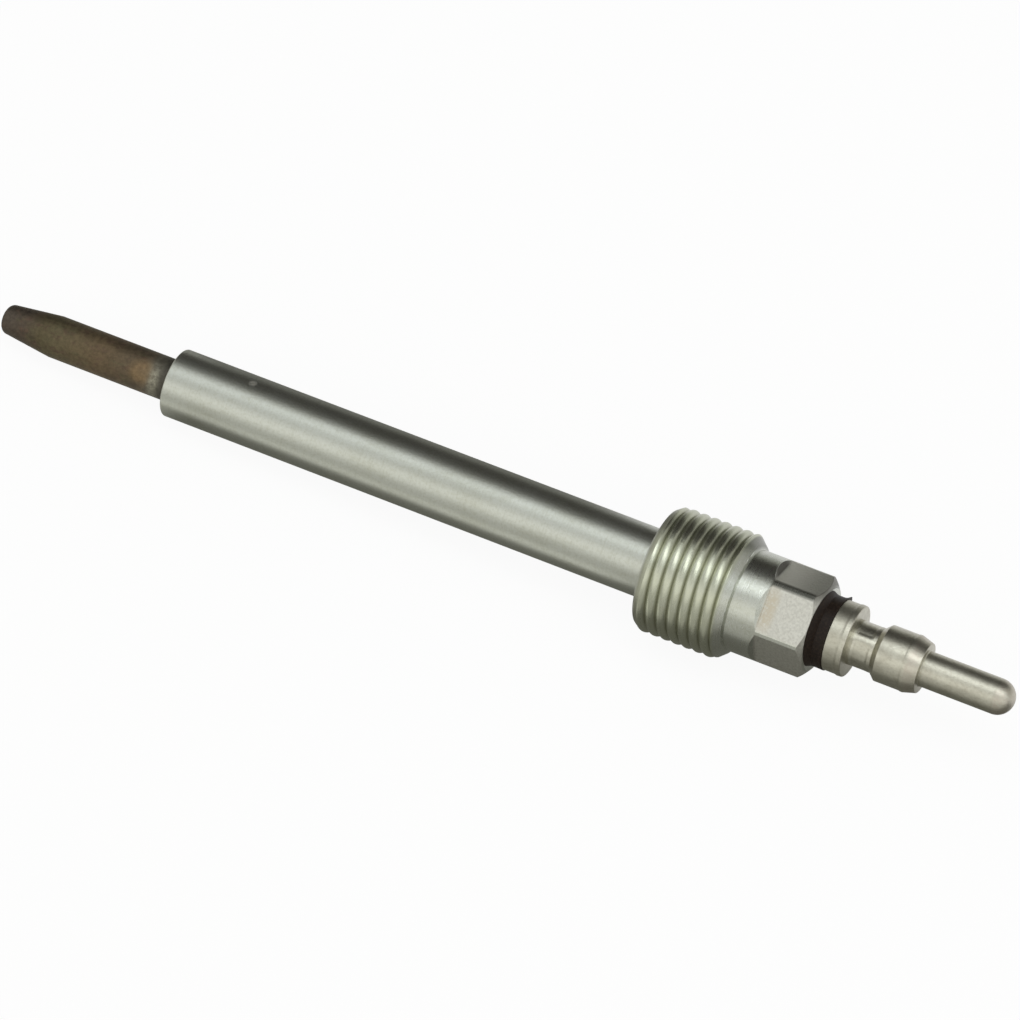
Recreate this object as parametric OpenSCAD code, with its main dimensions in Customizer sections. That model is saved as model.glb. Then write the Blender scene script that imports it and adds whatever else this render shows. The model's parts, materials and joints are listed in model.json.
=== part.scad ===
// Diesel glow plug: a steel body with a hexagon and a screw thread, a sealed
// heater tube with two coils in packed powder, and an insulated push-on pin.
// Every piece is turned about Z with the thread's front end at Z = 0 and the
// pin at +Z. The whole plug is then laid down on Z = 0, pin towards +X.

/* [Glow tube] */
// Outer diameter of the tube
tube_d = 4.75; // [4.65:0.05:6]
// Wall of the tube
tube_wall = 0.6; // [0.4:0.05:0.65]
// Length of tube that stands out of the shank
tube_out = 21.25; // [18:0.05:28]
// Length of tube pressed into the shank
tube_in = 20; // [16:0.5:26]
// Length of the tapered tip
tip_len = 6.3; // [4:0.1:9]
// Diameter at the small end of the taper
tip_d = 3.4; // [3.3:0.05:4.2]
// Radius of the rounded edge at the tip
tip_round = 0.8; // [0.3:0.1:1.2]
// Thickness of the closed end
tip_wall = 1; // [0.8:0.1:1.6]

/* [Shank] */
// Diameter of the shank
shank_d = 7.7; // [7:0.1:9]
// Length from the end of the shank to the thread
shank_len = 58.2; // [45:0.1:75]
// Chamfer at the end of the shank
shank_chamfer = 0.35; // [0.1:0.05:0.6]
// Chamfer at the mouth of the tube's bore
mouth_chamfer = 0.15; // [0.05:0.05:0.3]

/* [Thread] */
// Outside diameter of the thread
thread_d = 14; // [12:0.1:18]
// Length of the threaded collar, over its end faces
thread_len = 10.6; // [8:0.1:16]
// Axial length of the lead chamfer at the front of the thread
lead_len = 0.5; // [0.3:0.1:1]
// Diameter of the flat face at the front of the thread
lead_d = 12.9; // [11:0.1:13.5]
// Axial length of the run-out cone behind the thread
runout_len = 1.55; // [0.8:0.05:2]

/* [Hexagon] */
// Diameter of the round blank, which is the neck and the hexagon's corners
blank_d = 11.3; // [11.1:0.05:11.5]
// Length of the neck, from the run-out cone to the full depth of the flats
neck_len = 3; // [2:0.1:5]
// Width across the flats
hex_af = 10; // [9.8:0.05:10.1]
// Length of the hexagon, from the full depth of the flats to its end face
hex_len = 5.45; // [4.5:0.05:9]
// Slope of the shoulder at the start of a flat, in degrees
flat_slope = 75; // [45:1:80]
// Axial length of the end chamfer
hex_chamfer_len = 0.75; // [0.3:0.05:1]
// Diameter of the flat end face
hex_face_d = 9.3; // [8.6:0.1:10]
// Turn of the hexagon about the plug's axis, in degrees
hex_turn = 2.5; // [0:0.5:59.5]

/* [Insulating washer] */
// Diameter of the washer at the hexagon
washer_d = 7.95; // [7.6:0.05:9]
// Diameter of the squeezed rim at the terminal
washer_rim_d = 8.15; // [8:0.05:9]
// Axial length of the squeezed rim
washer_rim_len = 0.5; // [0.2:0.1:0.8]
// Thickness between the hexagon and the terminal
washer_len = 1.6; // [1.2:0.05:3]

/* [Terminal cap] */
// Diameter of the collar
collar_d = 7.9; // [7:0.1:8.8]
// Length of the collar
collar_len = 2.15; // [1.2:0.05:3]
// Edge rounding of the collar
collar_round = 0.2; // [0.1:0.05:0.4]
// Diameter of the crimped neck
crimp_d = 5; // [4.6:0.1:5.6]
// Length of the crimped neck
crimp_len = 2.7; // [2.2:0.1:4]
// Length of the crimp marks
crimp_mark_len = 2; // [1:0.1:2.1]
// Depth of the crimp marks
crimp_depth = 0.2; // [0.05:0.05:0.3]
// Number of crimping jaws
crimp_jaws = 4; // [3:1:6]
// Width of the ribs left between the jaws
crimp_rib_w = 0.55; // [0.3:0.05:0.9]
// Turn of the crimp about the plug's axis, in degrees
crimp_turn = 64; // [0:1:89]
// Diameter of the barrel
barrel_d = 6.25; // [5.8:0.05:7]
// Length of the barrel, with its lead cone and without its nose
barrel_len = 3.9; // [3:0.1:6]
// Length of the cone from the neck to the barrel
barrel_lead = 0.7; // [0.3:0.05:1]
// Length of the tapered nose of the barrel
nose_len = 1.4; // [0.8:0.05:2.5]
// Diameter of the end face of the nose
nose_d = 5.55; // [4.6:0.05:5.7]
// Diameter of the push-on pin
pin_d = 3.9; // [3.5:0.05:4.3]
// Length of the pin, with its round end
pin_len = 10.2; // [7:0.1:14]
// Depth of the blind bore that takes the rod
socket_depth = 7.4; // [6:0.1:8]

/* [Terminal rod] */
// Diameter of the rod in the body
rod_d = 3.2; // [2.8:0.05:3.4]
// Diameter of the rod's front end, inside the tube
rod_front_d = 2.4; // [2:0.05:2.6]
// Length of the rod inside the tube
rod_in_tube = 15; // [10:0.5:16]
// Length of the thin front end behind the tube
rod_step = 2.2; // [1:0.1:4]
// Chamfer at the rod's ends
rod_chamfer = 0.3; // [0.1:0.05:0.5]

/* [Coils and filling] */
// Diameter of the coil wire
wire_d = 0.34; // [0.25:0.01:0.4]
// Mean diameter of both coils
coil_d = 1.7; // [1.5:0.05:1.75]
// Length of the heating coil's winding
heat_len = 8; // [5:0.5:10]
// Turns of the heating coil
heat_turns = 10; // [6:1:12]
// Turns of the regulating coil
regulate_turns = 12; // [6:1:14]
// Length of the straight lead at either end of the coils
coil_lead = 0.6; // [0.4:0.1:1]
// Length of the seal at the rear of the tube
tube_seal_len = 3; // [2:0.5:5]

/* [Bores and clearances] */
// Diameter of the body's bore around the rod
bore_d = 4.4; // [4:0.1:4.6]
// Diameter of the counterbore at the hexagon
counterbore_d = 7; // [6.4:0.1:7.4]
// Depth of the counterbore
counterbore_depth = 6.6; // [4:0.1:8]
// Gap around the sealing ring
ring_gap = 0.05; // [0.02:0.01:0.1]
// Gap around the washer's spigot
spigot_gap = 0.05; // [0.02:0.01:0.15]
// Gap between the rod and what it passes through
rod_gap = 0.05; // [0.02:0.01:0.15]

/* [Hidden] */
$fn = 96;

// Room by which a cutting shape passes the surface it cuts
over = 1;
// Corners of the wire's section and steps in one turn of a coil
wire_sides = 6;
turn_steps = 12;
// Steps in a rounded edge
round_steps = 6;

// Stations along the plug's axis
tip_z = -shank_len - tube_out;
tube_rear_z = -shank_len + tube_in;
tube_floor_z = tip_z + tip_wall;
tube_seal_z = tube_rear_z - tube_seal_len;
neck_z = thread_len;
hex_z = neck_z + neck_len;
hex_end_z = hex_z + hex_len;
collar_z = hex_end_z + washer_len;
crimp_z = collar_z + collar_len;
barrel_z = crimp_z + crimp_len;
nose_z = barrel_z + barrel_len;
pin_z = nose_z + nose_len;
ball_z = pin_z + pin_len - pin_d / 2;
counterbore_z = hex_end_z - counterbore_depth;
rod_nose_z = tube_rear_z - rod_in_tube;
rod_end_z = collar_z + socket_depth;

// The tube's inside and the sealing ring's section
tube_bore_r = tube_d / 2 - tube_wall;
tip_bore_r = tip_d / 2 - tube_wall;
ring_space = (counterbore_d - rod_d) / 2;

// The lying plug touches the ground with its thread and the end of its shank
rest_slope = atan((thread_d - shank_d) / 2 / (lead_len + shank_len - shank_chamfer));
rest_height = thread_d / 2 * cos(rest_slope) - lead_len * sin(rest_slope);
low_x = (tip_z + tip_round) * cos(rest_slope) - (tip_d / 2 - tip_round) * sin(rest_slope) - tip_round;
high_x = ball_z * cos(rest_slope) + pin_d / 2;

// Points of an arc as [radius, height], from one angle to another
function arc(centre, r, from, to) =
    [for (i = [0 : round_steps]) let (a = from + (to - from) * i / round_steps)
        centre + r * [cos(a), sin(a)]];

// Lays a piece down from its own axis, which is Z, to its place on the ground
module lie_down()
    translate([-(low_x + high_x) / 2, 0, rest_height])
        rotate([0, 90 - rest_slope, 0])
            children();

// A bore about the axis, between two heights
module bore(d, from, to)
    translate([0, 0, from]) cylinder(d = d, h = to - from);

// The space that a spanner's flat takes from the hexagon, with its sloping shoulder
module flat_cut() {
    top = blank_d / 2 + over / 4;
    slope_z = hex_z - (top - hex_af / 2) / tan(flat_slope);
    rotate([90, 0, 90])
        linear_extrude(blank_d, center = true)
            polygon([[hex_af / 2, hex_z], [hex_af / 2, hex_end_z + over],
                [top, hex_end_z + over], [top, slope_z]]);
}

// Body turned from one bar: shank, threaded collar, neck and hexagon
module plug_body() color("#b9b9ae") lie_down() difference() {
    rotate_extrude() polygon([
        [0, -shank_len],
        [shank_d / 2 - shank_chamfer, -shank_len],
        [shank_d / 2, -shank_len + shank_chamfer],
        [shank_d / 2, 0],
        [lead_d / 2, 0],
        [thread_d / 2, lead_len],
        [thread_d / 2, thread_len - runout_len],
        [blank_d / 2, neck_z],
        [blank_d / 2, hex_end_z - hex_chamfer_len],
        [hex_face_d / 2, hex_end_z],
        [0, hex_end_z]]);
    bore(tube_d, -shank_len - over, tube_rear_z);
    translate([0, 0, -shank_len])
        cylinder(d1 = tube_d + 2 * mouth_chamfer, d2 = tube_d, h = mouth_chamfer);
    bore(bore_d, tube_rear_z - over, hex_end_z);
    bore(counterbore_d, counterbore_z, hex_end_z + over);
    for (k = [0 : 5]) rotate(hex_turn + 60 * k) flat_cut();
}

// Space inside the glow tube as [radius, height], from its floor to a given height
function tube_inside(top_z) = [
    [0, tube_floor_z],
    [tip_bore_r, tube_floor_z],
    [tube_bore_r, tip_z + tip_len],
    [tube_bore_r, top_z],
    [0, top_z]];

// Sheath drawn with one closed, tapered end
module glow_tube() color("#5a4f42") lie_down() difference() {
    rotate_extrude() polygon(concat(
        [[0, tip_z]],
        arc([tip_d / 2 - tip_round, tip_z + tip_round], tip_round, -90, 0),
        [[tube_d / 2, tip_z + tip_len], [tube_d / 2, tube_rear_z], [0, tube_rear_z]]));
    rotate_extrude() polygon(tube_inside(tube_rear_z + over));
}

// One wire runs through both coils, as [radius, angle, height] from the tip to the rod
heat_z = tube_floor_z + coil_lead;
regulate_z = heat_z + heat_len;
wind_end_z = rod_nose_z - coil_lead;
heat_steps = heat_turns * turn_steps;
regulate_steps = regulate_turns * turn_steps;
step_angle = 360 / turn_steps;
wire_path = concat(
    [[coil_d / 2, 0, tube_floor_z], [coil_d / 2, 0, tube_floor_z + coil_lead / 2]],
    [for (i = [0 : heat_steps - 1])
        [coil_d / 2, step_angle * i, heat_z + heat_len * i / heat_steps]],
    [for (i = [0 : regulate_steps])
        [coil_d / 2, step_angle * i, regulate_z + (wind_end_z - regulate_z) * i / regulate_steps]],
    [[coil_d / 2, 0, rod_nose_z - coil_lead / 2], [coil_d / 2, 0, rod_nose_z]]);
wire_centres = [for (p = wire_path) [p[0] * cos(p[1]), p[0] * sin(p[1]), p[2]]];
wire_weld = heat_steps + 2;

function unit(v) = v / norm(v);

// Corners of the wire's section at one point of its path
function wire_ring(i) = let (
    ahead = wire_centres[min(i + 1, len(wire_centres) - 1)],
    behind = wire_centres[max(i - 1, 0)],
    along = unit(ahead - behind),
    outward = [cos(wire_path[i][1]), sin(wire_path[i][1]), 0],
    side = unit(outward - (outward * along) * along),
    across = cross(along, side))
    [for (k = [0 : wire_sides - 1]) let (a = 360 / wire_sides * k)
        wire_centres[i] + wire_d / 2 * (cos(a) * side + sin(a) * across)];

// A stretch of the wire between two points of its path
module wire(first, last) {
    n = wire_sides;
    rings = last - first;
    corner = function (i, k) i * n + k % n;
    polyhedron(
        points = [for (i = [first : last]) each wire_ring(i)],
        faces = concat(
            [[for (k = [0 : n - 1]) k]],
            [for (i = [0 : rings - 1], k = [0 : n - 1])
                [corner(i, k), corner(i + 1, k + 1), corner(i, k + 1)]],
            [for (i = [0 : rings - 1], k = [0 : n - 1])
                [corner(i, k), corner(i + 1, k), corner(i + 1, k + 1)]],
            [[for (k = [n - 1 : -1 : 0]) corner(rings, k)]]));
}

module whole_wire() wire(0, len(wire_path) - 1);

// Coil that glows, welded to the tube's tip
module heating_coil() color("#8d8a84") lie_down() wire(0, wire_weld);

// Coil that limits the current, welded to the heating coil and the rod
module regulating_coil() color("#a39f97") lie_down() wire(wire_weld, len(wire_path) - 1);

// Powder packed round the coils and the rod's front end
module filling_powder() color("#e6e2d8") lie_down() difference() {
    rotate_extrude() polygon(tube_inside(tube_seal_z));
    bore(rod_front_d, rod_nose_z, tube_seal_z + over);
    whole_wire();
}

// Plug that closes the tube round the rod
module tube_seal() color("#8a3f2c") lie_down() difference() {
    bore(2 * tube_bore_r, tube_seal_z, tube_rear_z);
    bore(rod_front_d, tube_seal_z - over, tube_rear_z + over);
}

// Rod that carries the current from the terminal to the coils
module terminal_rod() color("#9a9a96") lie_down() rotate_extrude() polygon([
    [0, rod_nose_z],
    [rod_front_d / 2, rod_nose_z],
    [rod_front_d / 2, tube_rear_z + rod_step],
    [rod_d / 2, tube_rear_z + rod_step + (rod_d - rod_front_d) / 2],
    [rod_d / 2, rod_end_z - rod_chamfer],
    [rod_d / 2 - rod_chamfer, rod_end_z],
    [0, rod_end_z]]);

// Ring that seals the rod in the body
module body_seal() color("#22201e") lie_down()
    translate([0, 0, counterbore_z + ring_space / 2])
        rotate_extrude() translate([(rod_d + ring_space) / 2, 0])
            circle(d = ring_space - 2 * ring_gap);

// Washer with a spigot that centres the rod and holds the ring down
module insulating_washer() color("#2a2320") lie_down() rotate_extrude() polygon([
    [rod_d / 2 + rod_gap, counterbore_z + ring_space],
    [counterbore_d / 2 - spigot_gap, counterbore_z + ring_space],
    [counterbore_d / 2 - spigot_gap, hex_end_z],
    [washer_d / 2, hex_end_z],
    [washer_d / 2, collar_z - washer_rim_len],
    [washer_rim_d / 2, collar_z],
    [rod_d / 2 + rod_gap, collar_z]]);

// Mark of one crimping jaw, centred on +X
module crimp_mark() {
    mark = 360 / crimp_jaws - crimp_rib_w / crimp_d * 360 / PI;
    translate([0, 0, crimp_z + (crimp_len - crimp_mark_len) / 2])
        rotate(-mark / 2)
            rotate_extrude(angle = mark)
                translate([crimp_d / 2 - crimp_depth, 0])
                    square([crimp_depth + over / 4, crimp_mark_len]);
}

// Turned terminal, crimped on the rod: collar, neck, barrel and pin
module terminal_cap() color("#aaa596") lie_down() difference() {
    union() {
        rotate_extrude() polygon(concat(
            [[0, collar_z], [collar_d / 2, collar_z]],
            arc([collar_d / 2 - collar_round, crimp_z - collar_round], collar_round, 0, 90),
            [[crimp_d / 2, crimp_z],
                [crimp_d / 2, barrel_z],
                [barrel_d / 2, barrel_z + barrel_lead],
                [barrel_d / 2, nose_z],
                [nose_d / 2, pin_z],
                [pin_d / 2, pin_z],
                [pin_d / 2, ball_z],
                [0, ball_z]]));
        translate([0, 0, ball_z]) intersection() {
            sphere(d = pin_d);
            bore(pin_d + over, 0, pin_d);
        }
    }
    bore(rod_d + 2 * rod_gap, collar_z - over, rod_end_z);
    for (k = [0 : crimp_jaws - 1]) rotate(crimp_turn + 360 / crimp_jaws * k) crimp_mark();
}

plug_body();
glow_tube();
heating_coil();
regulating_coil();
filling_powder();
tube_seal();
terminal_rod();
body_seal();
insulating_washer();
terminal_cap();
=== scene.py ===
"""Looks of a diesel glow plug that lies on a pale table.

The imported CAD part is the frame. The four pieces that show, which are the body,
the glow tube, the washer and the terminal, are turned again here at a finer
scale, with the screw thread, the crimp and the squeezed rim. The sealed pieces
keep their CAD shape and get their finish. Sizes are in millimetres about the
plug's own axis: height 0 is the thread's front face, and the pin is at +Z.
"""

from __future__ import annotations

import json
import logging
import math
from collections.abc import Callable, Mapping, Sequence
from dataclasses import dataclass
from enum import Enum
from functools import cached_property
from typing import Any

import bmesh
import bpy
from mathutils import Matrix, Vector

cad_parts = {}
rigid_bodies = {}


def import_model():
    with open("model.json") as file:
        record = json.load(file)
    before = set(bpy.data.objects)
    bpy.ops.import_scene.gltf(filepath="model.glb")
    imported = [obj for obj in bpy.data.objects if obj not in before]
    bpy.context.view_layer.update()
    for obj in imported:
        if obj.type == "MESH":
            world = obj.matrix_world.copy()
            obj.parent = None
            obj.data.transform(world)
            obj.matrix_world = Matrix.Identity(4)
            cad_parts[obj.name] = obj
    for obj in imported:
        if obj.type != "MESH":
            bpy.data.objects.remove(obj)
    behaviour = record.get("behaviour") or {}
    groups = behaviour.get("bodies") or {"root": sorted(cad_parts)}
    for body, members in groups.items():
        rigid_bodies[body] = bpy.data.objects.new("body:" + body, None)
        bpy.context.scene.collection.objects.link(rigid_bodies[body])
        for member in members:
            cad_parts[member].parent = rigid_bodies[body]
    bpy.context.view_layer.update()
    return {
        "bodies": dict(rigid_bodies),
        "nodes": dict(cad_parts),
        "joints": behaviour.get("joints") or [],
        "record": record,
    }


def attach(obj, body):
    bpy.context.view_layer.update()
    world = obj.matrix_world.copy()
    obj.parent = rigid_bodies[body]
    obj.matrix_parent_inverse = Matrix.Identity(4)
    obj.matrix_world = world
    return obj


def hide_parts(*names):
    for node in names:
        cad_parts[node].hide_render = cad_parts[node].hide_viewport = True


LOG = logging.getLogger("glow_plug")
MM = 0.001
WELD = 0.0005
BODY = "root"

Colour = tuple[float, float, float]
Ring = Callable[[float], tuple[float, float]]


class Slot(Enum):
    """Material slots of the record."""

    BODY_STEEL = "body_steel"
    TUBE_ALLOY = "tube_alloy"
    COIL_ALLOY = "coil_alloy"
    POWDER = "powder"
    TUBE_SEAL = "tube_seal"
    ROD_STEEL = "rod_steel"
    SEAL_RUBBER = "seal_rubber"
    INSULATOR = "insulator"
    TERMINAL_METAL = "terminal_metal"


# Plug's axis


@dataclass(frozen=True)
class Span:
    """How far a CAD node reaches along the plug's axis and from it."""

    low: float
    high: float
    radius: float


@dataclass(frozen=True)
class PlugAxis:
    """The plug's own axis in the frame, from millimetres about the axis to metres in the frame."""

    place: Matrix
    nodes: Mapping[str, bpy.types.Object]

    @classmethod
    def from_frame(cls, frame: Mapping[str, Any], lead_len: float) -> PlugAxis:
        """Reads the axis from the record's mounts.

        Args:
            lead_len: Length of the chamfer in front of the thread's full diameter.

        Returns:
            The axis with height 0 at the thread's front face.
        """
        mounts = {mount["name"]: mount for mount in frame["record"]["mounts"]}
        thread = mounts["thread"]
        along = Vector(mounts["terminal_pin"]["axis"]).normalized()
        side = Vector((0.0, 1.0, 0.0))
        turn = Matrix((side.cross(along), side, along)).transposed()
        to_front = thread["dims"]["length_mm"] / 2 + lead_len
        front = Vector(thread["pos_m"]) - along * to_front * MM
        return cls(Matrix.LocRotScale(front, turn, Vector((MM, MM, MM))), frame["nodes"])

    def span(self, node: str) -> Span:
        """Measures a CAD node along the axis.

        Args:
            node: Name of the CAD node.

        Returns:
            Its lowest and highest height, and its largest radius.
        """
        back = self.place.inverted()
        points = [back @ vertex.co for vertex in self.nodes[node].data.vertices]
        heights = [point.z for point in points]
        return Span(min(heights), max(heights), max(math.hypot(point.x, point.y) for point in points))

    def point(self, height: float) -> Vector:
        """Gives the place in the frame of a height on the axis."""
        return self.place @ Vector((0.0, 0.0, height))


# Node graphs


class Signal:
    """A node's output in Python arithmetic, where each step adds a Math node."""

    def __init__(self, graph: Graph, socket: bpy.types.NodeSocket) -> None:
        """Keeps the socket and the graph that it belongs to."""
        self.graph = graph
        self.socket = socket

    def __add__(self, other: Signal | float) -> Signal:
        """Adds a value."""
        return self.graph.math("ADD", self, other)

    __radd__ = __add__

    def __sub__(self, other: Signal | float) -> Signal:
        """Takes a value away."""
        return self.graph.math("SUBTRACT", self, other)

    def __rsub__(self, other: float) -> Signal:
        """Takes this away from a value."""
        return self.graph.math("SUBTRACT", other, self)

    def __mul__(self, other: Signal | float) -> Signal:
        """Multiplies by a value."""
        return self.graph.math("MULTIPLY", self, other)

    __rmul__ = __mul__

    def __truediv__(self, other: Signal | float) -> Signal:
        """Divides by a value."""
        return self.graph.math("DIVIDE", self, other)

    def least(self, other: Signal | float) -> Signal:
        """Gives the smaller of this and another value."""
        return self.graph.math("MINIMUM", self, other)

    def most(self, other: Signal | float) -> Signal:
        """Gives the larger of this and another value."""
        return self.graph.math("MAXIMUM", self, other)

    def clipped(self) -> Signal:
        """Keeps this between 0 and 1."""
        return self.most(0.0).least(1.0)

    def smooth(self, low: float, high: float) -> Signal:
        """Turns this into a smooth step.

        Args:
            low: Value that becomes 0.
            high: Value that becomes 1, which may be below the first.

        Returns:
            The step, between 0 and 1.
        """
        part = ((self - low) / (high - low)).clipped()
        return part * part * (3.0 - 2.0 * part)


class Graph:
    """Builder of one node tree."""

    def __init__(self, tree: bpy.types.NodeTree) -> None:
        """Empties the tree and keeps it."""
        self.tree = tree
        tree.nodes.clear()

    def node(
        self,
        kind: str,
        settings: Mapping[str, object] | None = None,
        sockets: Mapping[str | int, object] | None = None,
    ) -> bpy.types.Node:
        """Adds a node.

        Args:
            kind: Type name of the node.
            settings: Properties, set first; "stops" holds a ramp's places and colours.
            sockets: Value or link of each input, by identifier, name or number.

        Returns:
            The new node.
        """
        node = self.tree.nodes.new(kind)
        for name, value in (settings or {}).items():
            if name == "stops":
                self._set_stops(node.color_ramp, value)
            else:
                setattr(node, name, value)
        for key, value in (sockets or {}).items():
            socket = self._find(node.inputs, key)
            if isinstance(value, Signal):
                self.tree.links.new(value.socket, socket)
            elif isinstance(value, tuple) and len(value) == 3 and socket.type == "RGBA":
                socket.default_value = (*value, 1.0)
            else:
                socket.default_value = value
        return node

    def add(self, output: str | int, kind: str, *parts: Mapping[Any, object]) -> Signal:
        """Adds a node and gives one of its outputs."""
        return Signal(self, self._find(self.node(kind, *parts).outputs, output))

    def math(self, operation: str, *values: Signal | float) -> Signal:
        """Adds a Math node on one, two or three values."""
        return self.add(0, "ShaderNodeMath", {"operation": operation}, dict(enumerate(values)))

    def mix(
        self, factor: Signal | float, first: Signal | Colour, second: Signal | Colour, blend: str = "MIX"
    ) -> Signal:
        """Mixes two colours.

        Args:
            factor: How much of the second shows, from 0 to 1.
            first: Colour at 0.
            second: Colour at 1.
            blend: Way of mixing.

        Returns:
            The mixed colour.
        """
        settings = {"data_type": "RGBA", "blend_type": blend}
        sockets = {"Factor_Float": factor, "A_Color": first, "B_Color": second}
        return self.add("Result_Color", "ShaderNodeMix", settings, sockets)

    def stretched(self, vector: Signal, by: tuple[float, float, float]) -> Signal:
        """Multiplies a vector part by part."""
        return self.add(0, "ShaderNodeVectorMath", {"operation": "MULTIPLY"}, {0: vector, 1: by})

    def noise(self, vector: Signal, scale: float, detail: float = 2.0, rough: float = 0.5) -> Signal:
        """Adds noise between 0 and 1.

        Args:
            vector: Place that it depends on.
            scale: Grains in one unit of the vector.
            detail: Number of finer layers.
            rough: Share of each finer layer.

        Returns:
            The noise value.
        """
        sockets = {"Vector": vector, "Scale": scale, "Detail": detail, "Roughness": rough}
        return self.add("Fac", "ShaderNodeTexNoise", {"noise_dimensions": "3D"}, sockets)

    def bump(self, height: Signal, depth: float, under: Signal | None = None) -> Signal:
        """Adds a Bump node.

        Args:
            height: Relief between 0 and 1.
            depth: Depth of the relief in millimetres.
            under: Normal of a coarser relief below it.

        Returns:
            The normal.
        """
        sockets = {"Strength": 1.0, "Distance": depth * MM, "Height": height}
        if under is not None:
            sockets["Normal"] = under
        return self.add("Normal", "ShaderNodeBump", {}, sockets)

    @staticmethod
    def _find(sockets: Sequence[bpy.types.NodeSocket], key: str | int) -> bpy.types.NodeSocket:
        """Finds a socket by number, or by identifier before name.

        Args:
            sockets: Inputs or outputs of a node.
            key: Number, identifier or name.

        Returns:
            The socket.
        """
        if isinstance(key, int):
            return sockets[key]
        named = [socket for socket in sockets if socket.identifier == key]
        named += [socket for socket in sockets if socket.name == key]
        return named[0]

    @staticmethod
    def _set_stops(ramp: bpy.types.ColorRamp, stops: Sequence[tuple[float, Colour]]) -> None:
        """Gives a colour ramp its stops.

        Args:
            ramp: The ramp.
            stops: Place and colour of each stop.
        """
        while len(ramp.elements) < len(stops):
            ramp.elements.new(1.0)
        for element, (place, colour) in zip(ramp.elements, stops):
            element.position = place
            element.color = (*colour, 1.0)


@dataclass(frozen=True)
class PlugCoords:
    """Place on the plug's surface, in millimetres about its axis."""

    vector: Signal
    height: Signal
    radius: Signal

    @classmethod
    def read(cls, graph: Graph, axis: PlugAxis) -> PlugCoords:
        """Turns Object coordinates into places about the axis.

        Args:
            graph: Graph of the material.
            axis: The plug's axis.

        Returns:
            The place, its height along the axis and its distance from it.
        """
        where, turn, scale = axis.place.decompose()
        here = graph.add("Object", "ShaderNodeTexCoord")
        vector = graph.add(
            "Vector",
            "ShaderNodeMapping",
            {"vector_type": "TEXTURE"},
            {"Vector": here, "Location": tuple(where), "Rotation": turn.to_euler(), "Scale": tuple(scale)},
        )
        flat = graph.stretched(vector, (1.0, 1.0, 0.0))
        radius = graph.add("Value", "ShaderNodeVectorMath", {"operation": "LENGTH"}, {0: flat})
        return cls(vector, graph.add("Z", "ShaderNodeSeparateXYZ", {}, {0: vector}), radius)

    def band(self, first: float, last: float, soft: float) -> Signal:
        """Marks a band along the axis.

        Args:
            first: Height where it starts.
            last: Height where it ends.
            soft: Width of its soft edges.

        Returns:
            A mask that is 1 inside the band.
        """
        return self.height.smooth(first - soft, first + soft) * self.height.smooth(last + soft, last - soft)

    def toward(self, angle: float) -> Signal:
        """Measures how far a place is from the axis towards one side.

        Args:
            angle: Angle of that side about the axis, in degrees.

        Returns:
            The distance, which is below 0 on the other side.
        """
        turn = math.radians(angle)
        sockets = {0: self.vector, 1: (math.cos(turn), math.sin(turn), 0.0)}
        return self.vector.graph.add("Value", "ShaderNodeVectorMath", {"operation": "DOT_PRODUCT"}, sockets)


@dataclass(frozen=True)
class Spot:
    """A round spot on the surface, about a place in millimetres."""

    centre: tuple[float, float, float]
    size: float
    core: float = 0.3

    def mask(self, at: PlugCoords) -> Signal:
        """Marks the spot.

        Args:
            at: Place on the plug's surface.

        Returns:
            A mask that is 1 in the spot's core.
        """
        sockets = {0: at.vector, 1: self.centre}
        away = at.vector.graph.add("Value", "ShaderNodeVectorMath", {"operation": "DISTANCE"}, sockets)
        return away.smooth(self.size, self.size * self.core)


@dataclass(frozen=True)
class PaintedShadeSide:
    """Painted shade on one side of the plug.

    It starts and is full at two distances from the axis towards that side, and covers a share.
    """

    angle: float
    start: float
    full: float
    share: float

    def mask(self, at: PlugCoords) -> Signal:
        """Marks the side that the painted shade is on."""
        return at.toward(self.angle).smooth(self.start, self.full) * self.share


# Finishes


class Finish:
    """Base of every finish: a name, and a surface made of nodes."""

    name: str
    slot: Slot

    def surface(self, graph: Graph, at: PlugCoords) -> Mapping[str, object]:
        """Gives the inputs of the surface shader.

        Args:
            graph: Graph of the material.
            at: Place on the plug's surface.

        Returns:
            Value or link of each input, by its name.
        """
        raise NotImplementedError

    def material(self, axis: PlugAxis) -> bpy.types.Material:
        """Makes the material.

        Args:
            axis: The plug's axis, which the patterns follow.

        Returns:
            The new material.
        """
        material = bpy.data.materials.new(self.name)
        material.use_nodes = True
        graph = Graph(material.node_tree)
        inputs = self.surface(graph, PlugCoords.read(graph, axis))
        shader = graph.add("BSDF", "ShaderNodeBsdfPrincipled", {}, inputs)
        graph.node("ShaderNodeOutputMaterial", {}, {"Surface": shader})
        return material


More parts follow.
